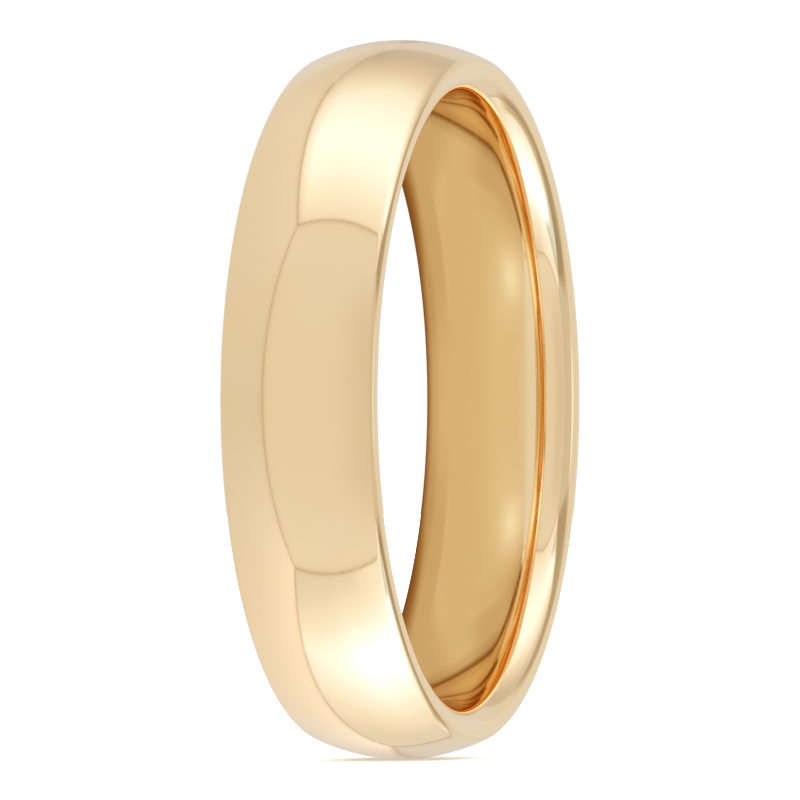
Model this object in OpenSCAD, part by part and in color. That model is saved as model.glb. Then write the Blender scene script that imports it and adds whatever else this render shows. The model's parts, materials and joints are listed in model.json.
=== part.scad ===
// Comfort-fit wedding band: one ring of solid gold, domed outside and eased inside.
// The finger passes along Y, and the origin is the centre of the ring.

/* [Ring size] */
// Inside diameter of the bore, US size 9 as drawn
bore_d = 19; // [14:0.5:23]
// Width of the band along the finger
band_w = 5; // [4.7:0.1:5.8]
// Wall thickness at the crown of the dome
wall_t = 1.7; // [1.6:0.05:1.8]

/* [Cross-section] */
// Radius of the dome across the width of the band
dome_r = 5.525; // [5.3:0.025:6.3]
// Radius of the outer edge, where the dome turns into the side
outer_edge_r = 0.4; // [0.3:0.05:0.5]
// Radius of the comfort curve at each end of the bore
comfort_r = 2.5; // [2.3:0.05:2.8]
// Width that each comfort curve takes out of the straight bore
comfort_w = 1.25; // [1.15:0.05:1.3]

/* [Hidden] */
$fn = 180;
half_w = band_w / 2;
bore_r = bore_d / 2;
crown_r = bore_r + wall_t;

// Centres of the arcs, as [radius, place along the finger]
dome_c = [crown_r - dome_r, 0];
outer_edge_y = half_w - outer_edge_r;
edge_x = dome_c.x + sqrt((dome_r - outer_edge_r) ^ 2 - outer_edge_y ^ 2);
outer_edge_c = [edge_x, outer_edge_y];
comfort_c = [bore_r + comfort_r, half_w - comfort_w];

// The inner edge meets the outer edge on the side, so the band has no flat side face
edge_gap = comfort_c.x - edge_x;
inner_edge_r = (comfort_r ^ 2 - edge_gap ^ 2 - comfort_w ^ 2) / (2 * (comfort_r - comfort_w));
inner_edge_c = [edge_x, half_w - inner_edge_r];

// Points where one arc runs into the next
dome_end = tangent_point(dome_c, outer_edge_c, dome_r);
comfort_end = tangent_point(comfort_c, inner_edge_c, comfort_r);

// Point on a circle in the direction from its centre towards another centre
function tangent_point(centre, towards, radius) =
    centre + radius * (towards - centre) / norm(towards - centre);

// A point of the outline on one side of the band
function on_side(point, side) = [point.x, side * point.y];

// Outline between the two edges: it has chords where the edge arcs go
module core_outline() {
    polygon([
        for (side = [1, -1], point = side > 0 ? core_points() : reverse(core_points()))
            on_side(point, side)
    ]);
}

function core_points() = [
    [crown_r, dome_end.y],
    dome_end,
    [edge_x, half_w],
    comfort_end,
    [bore_r, comfort_end.y]
];

function reverse(list) = [for (i = [len(list) - 1:-1:0]) list[i]];

// Straight bore with a comfort curve at each end, filled out past the crown
module comfort_outline() {
    translate([bore_r, -comfort_c.y])
        square([wall_t, 2 * comfort_c.y]);
    for (side = [1, -1])
        translate(on_side(comfort_c, side))
            circle(comfort_r);
}

// The half of the inner edge's circle that faces the bore
module inner_edge() {
    intersection() {
        circle(inner_edge_r);
        translate([-inner_edge_r, -inner_edge_r])
            square([inner_edge_r, 2 * inner_edge_r]);
    }
}

// Cross-section of the band: the core and its four rounded edges
module section() {
    intersection() {
        core_outline();
        translate(dome_c)
            circle(dome_r);
        comfort_outline();
    }
    for (side = [1, -1]) {
        translate(on_side(outer_edge_c, side))
            circle(outer_edge_r);
        translate(on_side(inner_edge_c, side))
            inner_edge();
    }
}

module band() {
    color("gold")
        rotate([90, 0, 0])
            rotate_extrude()
                section();
}

band();
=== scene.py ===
"""A plain polished yellow-gold wedding band in a bright light tent.

The row frame is the CAD's: the finger passes along Y, Z is up, and the origin is the ring's centre.
"""

import json
import math

import bpy
import numpy as np
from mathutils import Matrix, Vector


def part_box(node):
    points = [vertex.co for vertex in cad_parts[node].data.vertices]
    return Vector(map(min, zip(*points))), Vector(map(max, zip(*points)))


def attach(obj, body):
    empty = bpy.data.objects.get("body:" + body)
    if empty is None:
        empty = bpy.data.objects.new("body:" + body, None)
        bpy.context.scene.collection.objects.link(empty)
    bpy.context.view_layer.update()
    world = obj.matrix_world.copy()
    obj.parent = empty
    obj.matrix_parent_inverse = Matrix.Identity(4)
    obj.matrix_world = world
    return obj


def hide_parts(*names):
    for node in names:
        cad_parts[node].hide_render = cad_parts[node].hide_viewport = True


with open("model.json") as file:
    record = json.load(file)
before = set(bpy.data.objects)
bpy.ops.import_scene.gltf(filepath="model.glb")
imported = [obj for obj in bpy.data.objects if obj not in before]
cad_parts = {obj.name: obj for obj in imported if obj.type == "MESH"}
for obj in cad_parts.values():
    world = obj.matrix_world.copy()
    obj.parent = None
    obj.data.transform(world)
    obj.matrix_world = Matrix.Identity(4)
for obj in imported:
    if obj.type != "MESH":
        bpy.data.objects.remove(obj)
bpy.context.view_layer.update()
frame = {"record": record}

MM = 0.001

# The band's section, in mm, as part.scad has it. The width, the outside and the bore come from the frame.
DOME_R = 5.525
OUTER_EDGE_R = 0.4
COMFORT_R = 2.5
ARC_STEPS = {"dome": 72, "outer_edge": 22, "inner_edge": 26, "comfort": 18, "bore": 14}
TURN_STEPS = 440

# The camera looks level at the band, turned so that the bore opens to the right.
VIEW_TURN = math.radians(72.02)
VIEW_DISTANCE = 589.5
FRAME_WIDTH = 24.92
SENSOR_WIDTH = 36.0
FRAMING_RIGHT = -0.084
FRAMING_UP = -0.013

# The light tent is a box around the band. Its faces are as far away as these numbers say, as ratios.
# "front" is on -X, "side" is on +Y, and "far" is on -Y; the roof and the base are softboxes.
TENT_FRONT = 1.0
TENT_SIDE = 0.76
TENT_FAR = 2.75
TENT_BACK = 2.45
TENT_ROOF = 1.55
ROOF_TILT = 0.06
TENT_BASE = 1.537
BASE_TILT = 0.043
TENT_RADIUS = 3000.0
TENT_STEP = 0.5
FACE_SIDE, FACE_FAR, FACE_BACK, FACE_ROOF, FACE_BASE = 1, 2, 3, 4, 5

# The tent's brightness. Its walls are white cloth, below 1, and its softboxes pass 1 at their middles.
FRONT_LEVEL = 0.785
SIDE_LEVEL = 0.73
FAR_LEVEL = 0.74
BACK_LEVEL = 0.72
ROOF_LEAST = 0.68
ROOF_GAIN = 1.05
ROOF_REACH = 0.98
BASE_LEAST = 0.80
BASE_GAIN = 1.65
BASE_REACH = 0.74

# The walls brighten toward the softbox below or above: by how much, and as what power of the way there.
FRONT_LIFT_LOW, FRONT_LIFT_HIGH, FRONT_LIFT_POWER = 0.09, 0.05, 1.5
SIDE_LIFT_LOW, SIDE_LIFT_HIGH, SIDE_LIFT_LOW_POWER = 0.32, 0.12, 1.3
BACK_LIFT = 0.05
WALL_RED, WALL_RED_LOSS = 1.03, 0.02
WALL_BLUE, WALL_BLUE_GAIN, LOW_SIDE_BLUE_GAIN = 0.98, 0.04, 0.11

# A softbox's tint, and its powers of brightness above and below 1.
SOFTBOX_TINT = 0.95
SOFTBOX_RED_ABOVE, SOFTBOX_RED_BELOW = 0.27, 0.85
SOFTBOX_GREEN_ABOVE, SOFTBOX_GREEN_BELOW = 0.62, 0.95

# How the softboxes fall off: faster toward the front by a ratio, as a power, and at the side wall.
ROOF_FRONT_RATIO, ROOF_FALLOFF = 1.15, 1.7
ROOF_PAST_SIDE, ROOF_BEFORE_SIDE = 0.12, 0.22
BASE_FRONT_RATIO, BASE_FALLOFF = 1.9, 1.35
BASE_SIDE_LOSS = 2.2
BASE_FAR_GAIN, BASE_FAR_EDGE = 0.25, (0.1, 0.8)

# Where the tent's faces meet there are thin darker lines, whose widths are in degrees.
SEAM_RATIO_PER_DEGREE = 0.04
SEAM_WIDTH = 0.45
SEAM_HALO_WIDTH = 1.7
SEAM_DEPTH = 0.33
SEAM_FARTHEST = 90.0
SEAM_ON_WALL, SEAM_ON_SOFTBOX = 0.85, 1.40
SEAM_HALO_ON_WALL = 0.36
ROOF_SEAM_HEIGHT, ROOF_SEAM_END = 0.3, (-1.14, -0.98)

# Bands of light and shade, as the (from, to) degrees of turn or rise over which each comes in.
SPOT_EDGE = (1.45, 0.65)
DIM_START, DIM_END, DIM_RISE, DIM_DEPTH = (5.0, 35.0), (122.0, 106.0), (45.0, 20.0), 0.12
BRIGHT_START, BRIGHT_END, BRIGHT_RISE, BRIGHT_GAIN = (106.0, 122.0), (180.0, 166.0), (20.0, 8.0), 0.10
ROOF_DIM_MIDDLE, ROOF_DIM_TURN, ROOF_DIM_DEPTH = 5.0, (62.0, 18.0), 0.17
ROOF_DIM_RISE, ROOF_DIM_EDGE = 45.0, (22.0, 5.0)
CORNER_TURN, CORNER_WIDTH, CORNER_DEPTH = -161.0, 5.0, 0.14
CORNER_LOW, CORNER_HIGH = (-34.0, -20.0), (52.0, 30.0)

# The dark frame's two bands: their rise, edges and ends in degrees, and how dark they are.
FRAME_START, FRAME_BEND, FRAME_MIDDLE = (68.0, 80.0), 0.008, 122.0
UPPER_RISE, UPPER_EDGE, UPPER_END, UPPER_DEPTH = 17.5, (10.0, 4.0), (152.0, 138.0), 0.38
LOWER_RISE, LOWER_EDGE, LOWER_END, LOWER_DEPTH = 24.0, (14.0, 6.0), (165.0, 149.0), 0.46

# A small lamp at the camera's far side, as (turn, rise) and size in degrees, and what it adds.
GLINT_AT = (107.0, 1.0)
GLINT_SIZE = (5.0, 8.0)
GLINT_LIGHT = (0.30, 0.50, 0.75)

# How much redder a shaded part of the tent turns: the powers of its shade in red, green and blue.
SHADE_POWERS = (0.77, 1.0, 1.37)

# Two warm cards nearly touch the band's far side, this many mm off: one behind, and one well forward.
# The cards are no lamps but painted reflections: they glow with the warm light, highlights and shade that
# the bore shows.
CARD_GAP = 0.04
CARD_RADIUS = 10.3
CARD_LEVEL = 0.57
CARD_FRONT = 1.75
CARD_CURVE = 0.084
CARD_FRONT_LEAST = -0.55
CARD_SOFT_EDGE = 0.8
CARD_ROWS = 96
CARD_COLUMNS = 96
FORWARD_CARD_START = 7.0
FORWARD_CARD_SOFT_EDGE = 0.9
FORWARD_CARD_RADIUS = 9.9
FORWARD_CARD_REACH = 6.5
FORWARD_CARD_LEVEL = 0.40
WALL_PAST_CARDS = (0.74, 0.70, 0.66)

# Light goes round and round the bore where it grazes it, so reflections are followed this many times.
REFLECTIONS = 16

# The floor is lit far past white, as a burned-out product shot is, so only a trace of shadow is left.
FLOOR_SIZE = 2400.0
FLOOR_WHITE = 0.95
FLOOR_LIGHT = 2.4

# The gold's two near colours and how polished it is, outside and in the bore.
GOLD_PALE = (0.987, 0.775, 0.466, 1.0)
GOLD_DEEP = (0.983, 0.765, 0.448, 1.0)
POLISH_ROUGHNESS = 0.012
BORE_ROUGHNESS = 0.05
BORE_POLISH_R = 9.55
BORE_POLISH_END_R = 10.05

# The gold's finest marks: noise scales per mm, how rough the marks are, and how deep, in mm.
CLOUD_SCALE = 0.35
PATCH_SCALE = 0.8
LINE_SCALE = 22.0
LINE_ROUGHNESS = 0.03
HAIRLINE_SCALE = 1.3
HAIRLINE_TURN = (0.5, 0.3, 0.9)
HAIRLINE_STRETCH = (0.25, 2.6, 1.1)
HAIRLINE_HALF_WIDTH = 0.006
HAIRLINE_ROUGHNESS = 0.03
BUMP_DEPTH = 0.00025


# ---------------------------------------------------------------- helpers

def mesh_object(name, points, faces, smooth=True):
    """A new object from points in mm and index quads."""
    mesh = bpy.data.meshes.new(name)
    mesh.from_pydata([tuple(p * MM for p in point) for point in points], [], faces)
    mesh.validate()
    if smooth:
        mesh.shade_smooth()
    piece = bpy.data.objects.new(name, mesh)
    bpy.context.scene.collection.objects.link(piece)
    return piece


def grid_faces(rows, columns, wrap_rows, wrap_columns):
    """Index quads over a grid of points stored row by row."""
    faces = []
    for row in range(rows if wrap_rows else rows - 1):
        below = (row + 1) % rows
        for column in range(columns if wrap_columns else columns - 1):
            right = (column + 1) % columns
            faces.append((row * columns + column, row * columns + right,
                          below * columns + right, below * columns + column))
    return faces


def node_material(name):
    """A material with an empty node tree but for its output."""
    material = bpy.data.materials.new(name)
    material.use_nodes = True
    nodes = material.node_tree.nodes
    for node in list(nodes):
        if node.type != "OUTPUT_MATERIAL":
            nodes.remove(node)
    return material, nodes, material.node_tree.links, nodes["Material Output"]


# ---------------------------------------------------------------- camera

def add_camera():
    """The camera, level with the ring's centre and aimed at it but for a slight framing offset."""
    toward_camera = Vector((-math.sin(VIEW_TURN), -math.cos(VIEW_TURN), 0.0))
    right = Vector((math.cos(VIEW_TURN), -math.sin(VIEW_TURN), 0.0))
    up = Vector((0.0, 0.0, 1.0))
    aim = right * FRAMING_RIGHT + up * FRAMING_UP
    data = bpy.data.cameras.new("camera")
    data.sensor_width = SENSOR_WIDTH
    data.lens = SENSOR_WIDTH * VIEW_DISTANCE / FRAME_WIDTH
    data.clip_start = 0.01
    data.clip_end = 100.0
    camera = bpy.data.objects.new("camera", data)
    camera.location = (aim + toward_camera * VIEW_DISTANCE) * MM
    camera.rotation_euler = toward_camera.to_track_quat("Z", "Y").to_euler()
    bpy.context.scene.collection.objects.link(camera)
    bpy.context.scene.camera = camera


# ---------------------------------------------------------------- studio

def fade(distance, width):
    """1 at no distance, falling off evenly on both sides."""
    return np.exp(-np.abs(distance) / width)


def ramp(value, low, high):
    """0 below low, 1 above high, and smooth between. Low may be the greater."""
    share = np.clip((value - low) / (high - low), 0.0, 1.0)
    return share * share * (3.0 - 2.0 * share)


def spot(turn, rise, at, size):
    """A soft-edged oval on the tent, 1 inside it."""
    distance = np.hypot((turn - at[0]) / size[0], (rise - at[1]) / size[1])
    return ramp(distance, *SPOT_EDGE)


def tent_faces(front, side, height):
    """Which face of the tent each direction meets, where, and how near a seam it is in degrees."""
    tiny = 1e-6

    def reach(across, distance):
        return np.where(across > tiny, distance / np.maximum(across, tiny), np.inf)

    walls = np.stack([
        reach(front, TENT_FRONT),
        reach(side, TENT_SIDE),
        reach(-side, TENT_FAR),
        reach(-front, TENT_BACK),
        reach(height - ROOF_TILT * front, TENT_ROOF),
        reach(-height + BASE_TILT * front, TENT_BASE),
    ])
    order = np.argsort(walls, axis=0)
    nearest = np.take_along_axis(walls, order[:1], 0)[0]
    second = np.take_along_axis(walls, order[1:2], 0)[0]
    seam = np.minimum((second / nearest - 1.0) / SEAM_RATIO_PER_DEGREE, SEAM_FARTHEST)
    return order[0], nearest, seam


def wall_light(face, at_height):
    """The white cloth of the walls, a little brighter toward the softboxes."""
    lift = np.clip(np.abs(at_height) / TENT_ROOF, 0.0, 1.0)
    is_low = at_height < 0.0
    level = FRONT_LEVEL + np.where(is_low, FRONT_LIFT_LOW, FRONT_LIFT_HIGH) * lift ** FRONT_LIFT_POWER
    side_lift = np.where(is_low, SIDE_LIFT_LOW * lift ** SIDE_LIFT_LOW_POWER, SIDE_LIFT_HIGH * lift)
    side_level = SIDE_LEVEL + side_lift
    level = np.where(face == FACE_SIDE, side_level, level)
    level = np.where(face == FACE_FAR, FAR_LEVEL, level)
    level = np.where(face == FACE_BACK, BACK_LEVEL + BACK_LIFT * lift, level)
    red = level * (WALL_RED - WALL_RED_LOSS * lift)
    is_low_side = is_low & (face == FACE_SIDE)
    blue = level * (WALL_BLUE + np.where(is_low_side, LOW_SIDE_BLUE_GAIN, WALL_BLUE_GAIN) * lift)
    return np.stack([red, level, blue], axis=1)


def softbox_light(level):
    """A softbox of this brightness, which turns from neutral to cool white as it brightens."""
    above = np.maximum(level, 1.0)
    below = np.minimum(level, 1.0)
    red = SOFTBOX_TINT * above ** SOFTBOX_RED_ABOVE * below ** SOFTBOX_RED_BELOW
    green = SOFTBOX_TINT * above ** SOFTBOX_GREEN_ABOVE * below ** SOFTBOX_GREEN_BELOW
    return np.stack([red, green, level], axis=1)


def roof_light(at_front, at_side):
    """The roof's softbox, brightest overhead and soft at the side wall."""
    away = np.where(at_front > 0.0, ROOF_FRONT_RATIO * at_front, at_front)
    gain = ROOF_GAIN * np.exp(-(np.abs(away) / ROOF_REACH) ** ROOF_FALLOFF)
    side_edge = ramp(at_side, TENT_SIDE + ROOF_PAST_SIDE, TENT_SIDE - ROOF_BEFORE_SIDE)
    return softbox_light(ROOF_LEAST + gain * side_edge)


def base_light(at_front, at_side):
    """The base's softbox, brightest underneath and a little brighter away from the side wall."""
    away = np.where(at_front > 0.0, BASE_FRONT_RATIO * at_front, at_front)
    gain = BASE_GAIN * np.exp(-(np.abs(away) / BASE_REACH) ** BASE_FALLOFF)
    toward_side = np.maximum(at_side, 0.0)
    far_gain = BASE_FAR_GAIN * ramp(-at_side, *BASE_FAR_EDGE)
    return softbox_light(BASE_LEAST + gain / (1.0 + BASE_SIDE_LOSS * toward_side) + far_gain)


def seam_shade(seam, is_wall, height, at_front):
    """Thin darker lines where faces meet, softer on a wall's side. The roof's end before the back."""
    core = np.where(is_wall, SEAM_ON_WALL, SEAM_ON_SOFTBOX) * fade(seam, SEAM_WIDTH)
    halo = np.where(is_wall, SEAM_HALO_ON_WALL, 0.0) * fade(seam, SEAM_HALO_WIDTH)
    roof_end = np.where(height > ROOF_SEAM_HEIGHT, ramp(at_front, *ROOF_SEAM_END), 1.0)
    return 1.0 - SEAM_DEPTH * (core + halo) * roof_end


def wall_shade(turn, rise, is_wall):
    """The walls dim past the camera, and beyond that they brighten near the horizon."""
    away = np.abs(rise)
    dimmer = ramp(turn, *DIM_START) * ramp(turn, *DIM_END) * ramp(away, *DIM_RISE)
    brighter = ramp(turn, *BRIGHT_START) * ramp(turn, *BRIGHT_END) * ramp(away, *BRIGHT_RISE)
    return (1.0 - DIM_DEPTH * dimmer * is_wall) * (1.0 + BRIGHT_GAIN * brighter)


def frame_shade(turn, rise):
    """A dark frame on the far wall: two bands that bend away from the horizon at both ends."""
    bend = FRAME_BEND * (turn - FRAME_MIDDLE) ** 2
    upper = ramp(np.abs(rise - UPPER_RISE - bend), *UPPER_EDGE) * ramp(turn, *UPPER_END)
    lower = ramp(np.abs(rise + LOWER_RISE + bend), *LOWER_EDGE) * ramp(turn, *LOWER_END)
    return 1.0 - ramp(turn, *FRAME_START) * (UPPER_DEPTH * upper + LOWER_DEPTH * lower)


def back_shade(turn, rise):
    """The roof dims toward the back, and so does the back corner opposite the camera."""
    off_back = np.abs((turn + ROOF_DIM_MIDDLE) % 360.0 - 180.0)
    roof = ramp(off_back, *ROOF_DIM_TURN) * ramp(np.abs(rise - ROOF_DIM_RISE), *ROOF_DIM_EDGE)
    corner = fade(turn - CORNER_TURN, CORNER_WIDTH) * ramp(rise, *CORNER_LOW) * ramp(rise, *CORNER_HIGH)
    return (1.0 - ROOF_DIM_DEPTH * roof) * (1.0 - CORNER_DEPTH * corner)


def tent_light(direction):
    """The tent's red, green and blue brightness seen along unit directions, one row each."""
    front, side, height = -direction[:, 0], direction[:, 1], direction[:, 2]
    turn = np.degrees(np.arctan2(-side, front))
    rise = np.degrees(np.arcsin(np.clip(height, -1.0, 1.0)))
    face, nearest, seam = tent_faces(front, side, height)
    at_front, at_side, at_height = front * nearest, side * nearest, height * nearest

    light = wall_light(face, at_height)
    light = np.where((face == FACE_ROOF)[:, None], roof_light(at_front, at_side), light)
    light = np.where((face == FACE_BASE)[:, None], base_light(at_front, at_side), light)
    light = light + spot(turn, rise, GLINT_AT, GLINT_SIZE)[:, None] * np.array([GLINT_LIGHT])

    is_wall = face < FACE_ROOF
    shade = seam_shade(seam, is_wall, height, at_front) * wall_shade(turn, rise, is_wall)
    shade = shade * frame_shade(turn, rise) * back_shade(turn, rise)
    return light * shade[:, None] ** np.array([SHADE_POWERS])


def add_tent():
    """A dome far outside the tent's true size, so that only direction counts. Only the gold sees it."""
    turns = int(360 / TENT_STEP)
    rows = int(180 / TENT_STEP) + 1
    around = np.radians(np.arange(turns) * TENT_STEP)
    rise = np.radians(np.linspace(-90.0, 90.0, rows))
    direction = np.stack([
        np.outer(np.cos(rise), np.cos(around)),
        np.outer(np.cos(rise), np.sin(around)),
        np.outer(np.sin(rise), np.ones(turns)),
    ], axis=2).reshape(-1, 3)
    tent = mesh_object("light_tent", (direction * TENT_RADIUS).tolist(),
                       grid_faces(rows, turns, False, True))
    paint_glow(tent, tent_light(direction))
    light_only_gold(tent)


def warm_colour(level):
    """The cards' brightness as a colour, which turns redder as it dims."""
    return np.stack([0.98 * level ** 0.62, level, 0.93 * level ** 1.55], axis=1)


def faded(warm, edge):
    """The warm light, faded into the brightness of the walls past a card where edge is 1."""
    return warm + (np.array([WALL_PAST_CARDS]) - warm) * edge[:, None]


def card_front(height):
    """How far toward the tent's front the rear card reaches."""
    return np.maximum(CARD_FRONT - CARD_CURVE * height ** 2, CARD_FRONT_LEAST)


def rear_glow(across, height):
    """The rear card's painted light and shade, which the bore reflects. Across is toward the tent's
    front.
    """
    radius = np.hypot(across, height)
    high = np.abs(height)
    level = CARD_LEVEL + 0.08 * ramp(across, -4.5, -1.0)
    level = level - 0.10 * ramp(radius, 5.5, 7.5) * ramp(high, 0.5, 3.0) - 0.09 * ramp(radius, 8.7, 9.4)
    # Painted highlights: two bright patches in a wider haze, one above and one below.
    patch = np.hypot((across + 1.7) / 1.2, (high - 3.9) / 0.9)
    haze = np.hypot((across + 3.0) / 2.4, (high - 3.0) / 1.6)
    level = level + 0.26 * np.exp(-patch ** 2) + 0.05 * np.exp(-haze ** 2)
    # A painted thin bright ring toward the back, a dimmer top of painted shade, and a dark rim of painted
    # shade.
    level = level + 0.07 * fade(radius - 6.9, 0.3) * ramp(high, 0.8, 1.6) * ramp(across, -4.5, -6.0)
    level = level - 0.13 * ramp(height, 4.5, 7.5) * ramp(across, -7.0, -4.0)
    level = level * (1.0 - 0.80 * ramp(radius, 9.5 - 1.3 * ramp(high, 3.0, 7.0), 10.2))
    return faded(warm_colour(level), ramp(card_front(height) - across, CARD_SOFT_EDGE, 0.0))


def forward_glow(across, height):
    """The forward card's painted warm light, even but for a soft edge."""
    level = np.full(len(height), FORWARD_CARD_LEVEL)
    edge = ramp(across - FORWARD_CARD_START, FORWARD_CARD_SOFT_EDGE, 0.0)
    return faded(warm_colour(level), edge)


def add_card(name, reach, edges, glow):
    """A small glowing card just outside the bore's far opening, between the edges given for each height.
    It is no lamp: it is a painted reflection for the bore.
    """
    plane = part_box("band")[1].y / MM + CARD_GAP
    points = []
    for row in range(CARD_ROWS):
        height = reach * (2.0 * row / (CARD_ROWS - 1) - 1.0)
        back, front = edges(height)
        for column in range(CARD_COLUMNS):
            across = back + (front - back) * column / (CARD_COLUMNS - 1)
            points.append((-across, plane, height))
    card = mesh_object(name, points, grid_faces(CARD_ROWS, CARD_COLUMNS, False, False))
    flat = np.array(points)
    paint_glow(card, glow(-flat[:, 0], flat[:, 2]))
    light_only_gold(card)


def rear_edges(height):
    """Where the rear card starts and ends at this height."""
    back = -math.sqrt(max(CARD_RADIUS ** 2 - height ** 2, 0.0))
    return back, max(min(float(card_front(height)), -back), back + 0.01)


def forward_edges(height):
    """Where the forward card starts and ends at this height."""
    return FORWARD_CARD_START, math.sqrt(FORWARD_CARD_RADIUS ** 2 - height ** 2)


def paint_glow(piece, light):
    """Gives a studio surface its own brightness, point by point."""
    glow = piece.data.attributes.new("glow", "FLOAT_COLOR", "POINT")
    rgba = np.concatenate([light, np.ones((len(light), 1))], axis=1)
    glow.data.foreach_set("color", rgba.astype(np.float32).ravel())
    material, nodes, links, output = node_material(piece.name)
    attribute = nodes.new("ShaderNodeAttribute")
    attribute.attribute_name = "glow"
    emission = nodes.new("ShaderNodeEmission")
    links.new(attribute.outputs["Color"], emission.inputs["Color"])
    links.new(emission.outputs["Emission"], output.inputs["Surface"])
    material.cycles.emission_sampling = "NONE"
    piece.data.materials.append(material)


def light_only_gold(piece):
    """The camera and the floor don't see this surface; the polished metal does."""
    piece.visible_camera = False
    piece.visible_diffuse = False
    piece.visible_shadow = False


def add_floor():
    """A plain white floor under the band, which the gold doesn't reflect."""
    half = FLOOR_SIZE / 2
    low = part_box("band")[0].z / MM
    points = [(-half, -half, low), (half, -half, low), (half, half, low), (-half, half, low)]
    floor = mesh_object("floor", points, [(0, 1, 2, 3)], smooth=False)
    floor.visible_glossy = False
    material, nodes, links, output = node_material("floor")
    diffuse = nodes.new("ShaderNodeBsdfDiffuse")
    diffuse.inputs["Color"].default_value = (FLOOR_WHITE, FLOOR_WHITE, FLOOR_WHITE, 1.0)
    links.new(diffuse.outputs["BSDF"], output.inputs["Surface"])
    floor.data.materials.append(material)


def add_background():
    """White behind everything, and a brighter even light on the floor."""
    world = bpy.data.worlds.new("studio")
    world.use_nodes = True
    nodes, links = world.node_tree.nodes, world.node_tree.links
    background = nodes["Background"]
    background.inputs["Color"].default_value = (1.0, 1.0, 1.0, 1.0)
    path = nodes.new("ShaderNodeLightPath")
    strength = nodes.new("ShaderNodeMapRange")
    strength.inputs["To Min"].default_value = FLOOR_LIGHT
    strength.inputs["To Max"].default_value = 1.0
    links.new(path.outputs["Is Camera Ray"], strength.inputs["Value"])
    links.new(strength.outputs["Result"], background.inputs["Strength"])
    bpy.context.scene.world = world


# ---------------------------------------------------------------- band

def arc(centre, radius, start, end, steps):
    """Points on an arc about centre, as (distance from the axis, place along it), without the last."""
    turns = [start + (end - start) * step / steps for step in range(steps)]
    return [(centre[0] + radius * math.cos(turn), centre[1] + radius * math.sin(turn)) for turn in turns]


def band_section():
    """The closed outline of the band's section, from the dome's middle round to itself."""
    low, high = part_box("band")
    crown_r = high.z / MM
    half_w = high.y / MM
    bore = frame["record"]["mounts"][0]["dims"]
    bore_r = bore["r_mm"]
    comfort_w = bore["length_mm"] / 2

    dome_centre = (crown_r - DOME_R, 0.0)
    edge_y = half_w - OUTER_EDGE_R
    edge_x = dome_centre[0] + math.sqrt((DOME_R - OUTER_EDGE_R) ** 2 - edge_y ** 2)
    comfort_centre = (bore_r + COMFORT_R, comfort_w)
    # The inner edge is tangent to the comfort curve and to the side face where the outer edge ends.
    across = comfort_centre[0] - edge_x
    gap = half_w - comfort_w
    inner_edge_r = (across ** 2 + gap ** 2 - COMFORT_R ** 2) / (2 * (gap - COMFORT_R))
    inner_centre = (edge_x, half_w - inner_edge_r)

    dome_end = math.atan2(edge_y, edge_x - dome_centre[0])
    comfort_end = math.atan2(inner_centre[1] - comfort_centre[1], inner_centre[0] - comfort_centre[0])
    quarter = math.pi / 2
    half = [
        *arc(dome_centre, DOME_R, 0.0, dome_end, ARC_STEPS["dome"] // 2),
        *arc((edge_x, edge_y), OUTER_EDGE_R, dome_end, quarter, ARC_STEPS["outer_edge"]),
        *arc(inner_centre, inner_edge_r, quarter, comfort_end, ARC_STEPS["inner_edge"]),
        *arc(comfort_centre, COMFORT_R, comfort_end, math.pi, ARC_STEPS["comfort"]),
    ]
    flat = [(bore_r, comfort_w * (1 - 2 * step / ARC_STEPS["bore"])) for step in range(ARC_STEPS["bore"])]
    mirrored = [(x, -y) for x, y in reversed(half[1:])]
    return half + flat + [(bore_r, -comfort_w)] + mirrored


def add_band():
    """The section turned about the finger's axis, standing for the CAD band."""
    section = band_section()
    points = []
    for turn in range(TURN_STEPS):
        angle = 2 * math.pi * turn / TURN_STEPS
        points += [(x * math.sin(angle), y, x * math.cos(angle)) for x, y in section]
    faces = grid_faces(TURN_STEPS, len(section), True, True)
    band = mesh_object("gold_band", points, faces)
    band.data.materials.append(gold_material())
    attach(band, "root")
    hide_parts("band")


def add_noise(nodes, links, place, scale, detail):
    """A noise texture over these coordinates, whose value is about 0.5."""
    noise = nodes.new("ShaderNodeTexNoise")
    noise.inputs["Scale"].default_value = scale
    noise.inputs["Detail"].default_value = detail
    links.new(place, noise.inputs["Vector"])
    return noise.outputs["Fac"]


def add_range(nodes, links, value, start, end, least, most):
    """The value, eased from its range start..end to least..most."""
    node = nodes.new("ShaderNodeMapRange")
    node.interpolation_type = "SMOOTHSTEP"
    node.inputs["From Min"].default_value = start
    node.inputs["From Max"].default_value = end
    node.inputs["To Min"].default_value = least
    node.inputs["To Max"].default_value = most
    links.new(value, node.inputs["Value"])
    return node.outputs["Result"]


def add_math(nodes, links, operation, first, second):
    """A sum, difference or product of an output with a number or another output."""
    node = nodes.new("ShaderNodeMath")
    node.operation = operation
    links.new(first, node.inputs[0])
    if isinstance(second, float):
        node.inputs[1].default_value = second
    else:
        links.new(second, node.inputs[1])
    return node.outputs["Value"]


def add_distance(nodes, links, value, middle):
    """How far the value is from the middle, on either side."""
    node = nodes.new("ShaderNodeMath")
    node.operation = "ABSOLUTE"
    links.new(add_math(nodes, links, "SUBTRACT", value, middle), node.inputs[0])
    return node.outputs["Value"]


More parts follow.
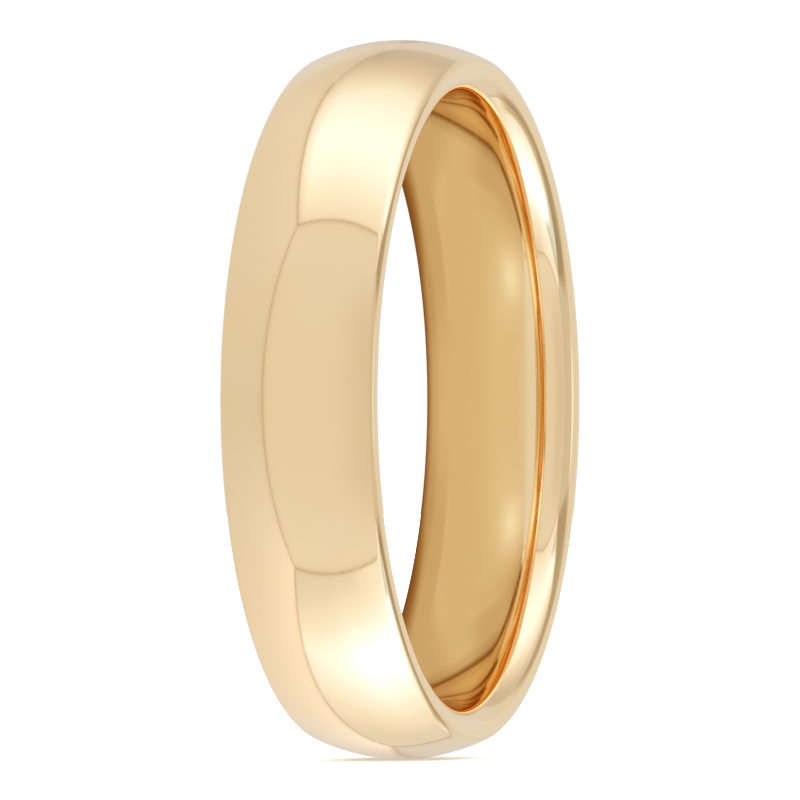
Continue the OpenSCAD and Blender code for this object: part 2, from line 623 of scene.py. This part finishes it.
def add_places(nodes, links):
    """The place on the band in mm; the same flattened to radius and width; and the radius alone."""
    coordinates = nodes.new("ShaderNodeTexCoord")
    in_mm = nodes.new("ShaderNodeVectorMath")
    in_mm.operation = "SCALE"
    in_mm.inputs["Scale"].default_value = 1.0 / MM
    links.new(coordinates.outputs["Object"], in_mm.inputs[0])
    apart = nodes.new("ShaderNodeSeparateXYZ")
    links.new(in_mm.outputs["Vector"], apart.inputs["Vector"])
    from_axis = nodes.new("ShaderNodeCombineXYZ")
    links.new(apart.outputs["X"], from_axis.inputs["X"])
    links.new(apart.outputs["Z"], from_axis.inputs["Z"])
    radius = nodes.new("ShaderNodeVectorMath")
    radius.operation = "LENGTH"
    links.new(from_axis.outputs["Vector"], radius.inputs[0])
    section = nodes.new("ShaderNodeCombineXYZ")
    links.new(radius.outputs["Value"], section.inputs["X"])
    links.new(apart.outputs["Y"], section.inputs["Y"])
    return in_mm.outputs["Vector"], section.outputs["Vector"], radius.outputs["Value"]


def add_alloy_colour(nodes, links, place):
    """The alloy's colour, which drifts very slightly from place to place."""
    cloud = add_noise(nodes, links, place, CLOUD_SCALE, 2.0)
    colour = nodes.new("ShaderNodeMix")
    colour.data_type = "RGBA"
    colour.inputs["A"].default_value = GOLD_PALE
    colour.inputs["B"].default_value = GOLD_DEEP
    links.new(add_range(nodes, links, cloud, 0.3, 0.7, 0.0, 1.0), colour.inputs["Factor"])
    return colour.outputs["Result"]


def add_hairlines(nodes, links, place):
    """Hairlines, where a stretched noise crosses its middle value."""
    stretched = nodes.new("ShaderNodeMapping")
    stretched.inputs["Rotation"].default_value = HAIRLINE_TURN
    stretched.inputs["Scale"].default_value = HAIRLINE_STRETCH
    links.new(place, stretched.inputs["Vector"])
    wander = add_noise(nodes, links, stretched.outputs["Vector"], HAIRLINE_SCALE, 1.0)
    distance = add_distance(nodes, links, wander, 0.5)
    return add_range(nodes, links, distance, 0.0, HAIRLINE_HALF_WIDTH, 1.0, 0.0)


def gold_material():
    """Mirror-polished yellow gold: faint buffing lines round the band, hairlines and a softer bore."""
    material, nodes, links, output = node_material("polished_gold")
    place, section, radius = add_places(nodes, links)
    shader = nodes.new("ShaderNodeBsdfPrincipled")
    shader.inputs["Metallic"].default_value = 1.0
    links.new(shader.outputs["BSDF"], output.inputs["Surface"])
    links.new(add_alloy_colour(nodes, links, place), shader.inputs["Base Color"])

    # Buffing lines run round the band. They and the hairlines come and go in patches along it.
    clouds = add_noise(nodes, links, place, PATCH_SCALE, 2.0)
    patches = add_range(nodes, links, clouds, 0.4, 0.7, 0.15, 1.0)
    lines = add_noise(nodes, links, section, LINE_SCALE, 3.0)
    buffed = add_math(nodes, links, "MULTIPLY", lines, patches)
    hairlines = add_math(nodes, links, "MULTIPLY", add_hairlines(nodes, links, place), patches)

    rough = add_range(nodes, links, radius, BORE_POLISH_R, BORE_POLISH_END_R,
                      BORE_ROUGHNESS, POLISH_ROUGHNESS)
    for mark, depth in ((buffed, LINE_ROUGHNESS), (hairlines, HAIRLINE_ROUGHNESS)):
        rough = add_math(nodes, links, "ADD", rough, add_math(nodes, links, "MULTIPLY", mark, depth))
    links.new(rough, shader.inputs["Roughness"])

    bump = nodes.new("ShaderNodeBump")
    bump.inputs["Distance"].default_value = BUMP_DEPTH * MM
    links.new(add_math(nodes, links, "SUBTRACT", buffed, hairlines), bump.inputs["Height"])
    links.new(bump.outputs["Normal"], shader.inputs["Normal"])
    return material


# ---------------------------------------------------------------- scene

def main():
    """Sets how colours and reflections are shown, and builds the studio and the band."""
    scene = bpy.context.scene
    scene.view_settings.view_transform = "Standard"
    scene.cycles.max_bounces = REFLECTIONS
    scene.cycles.glossy_bounces = REFLECTIONS
    add_camera()
    add_background()
    add_floor()
    add_tent()
    # Two glowing cards that paint the warm light and shade which the bore reflects.
    add_card("rear_painted_reflection", CARD_RADIUS, rear_edges, rear_glow)
    add_card("forward_painted_reflection", FORWARD_CARD_REACH, forward_edges, forward_glow)
    add_band()


main()
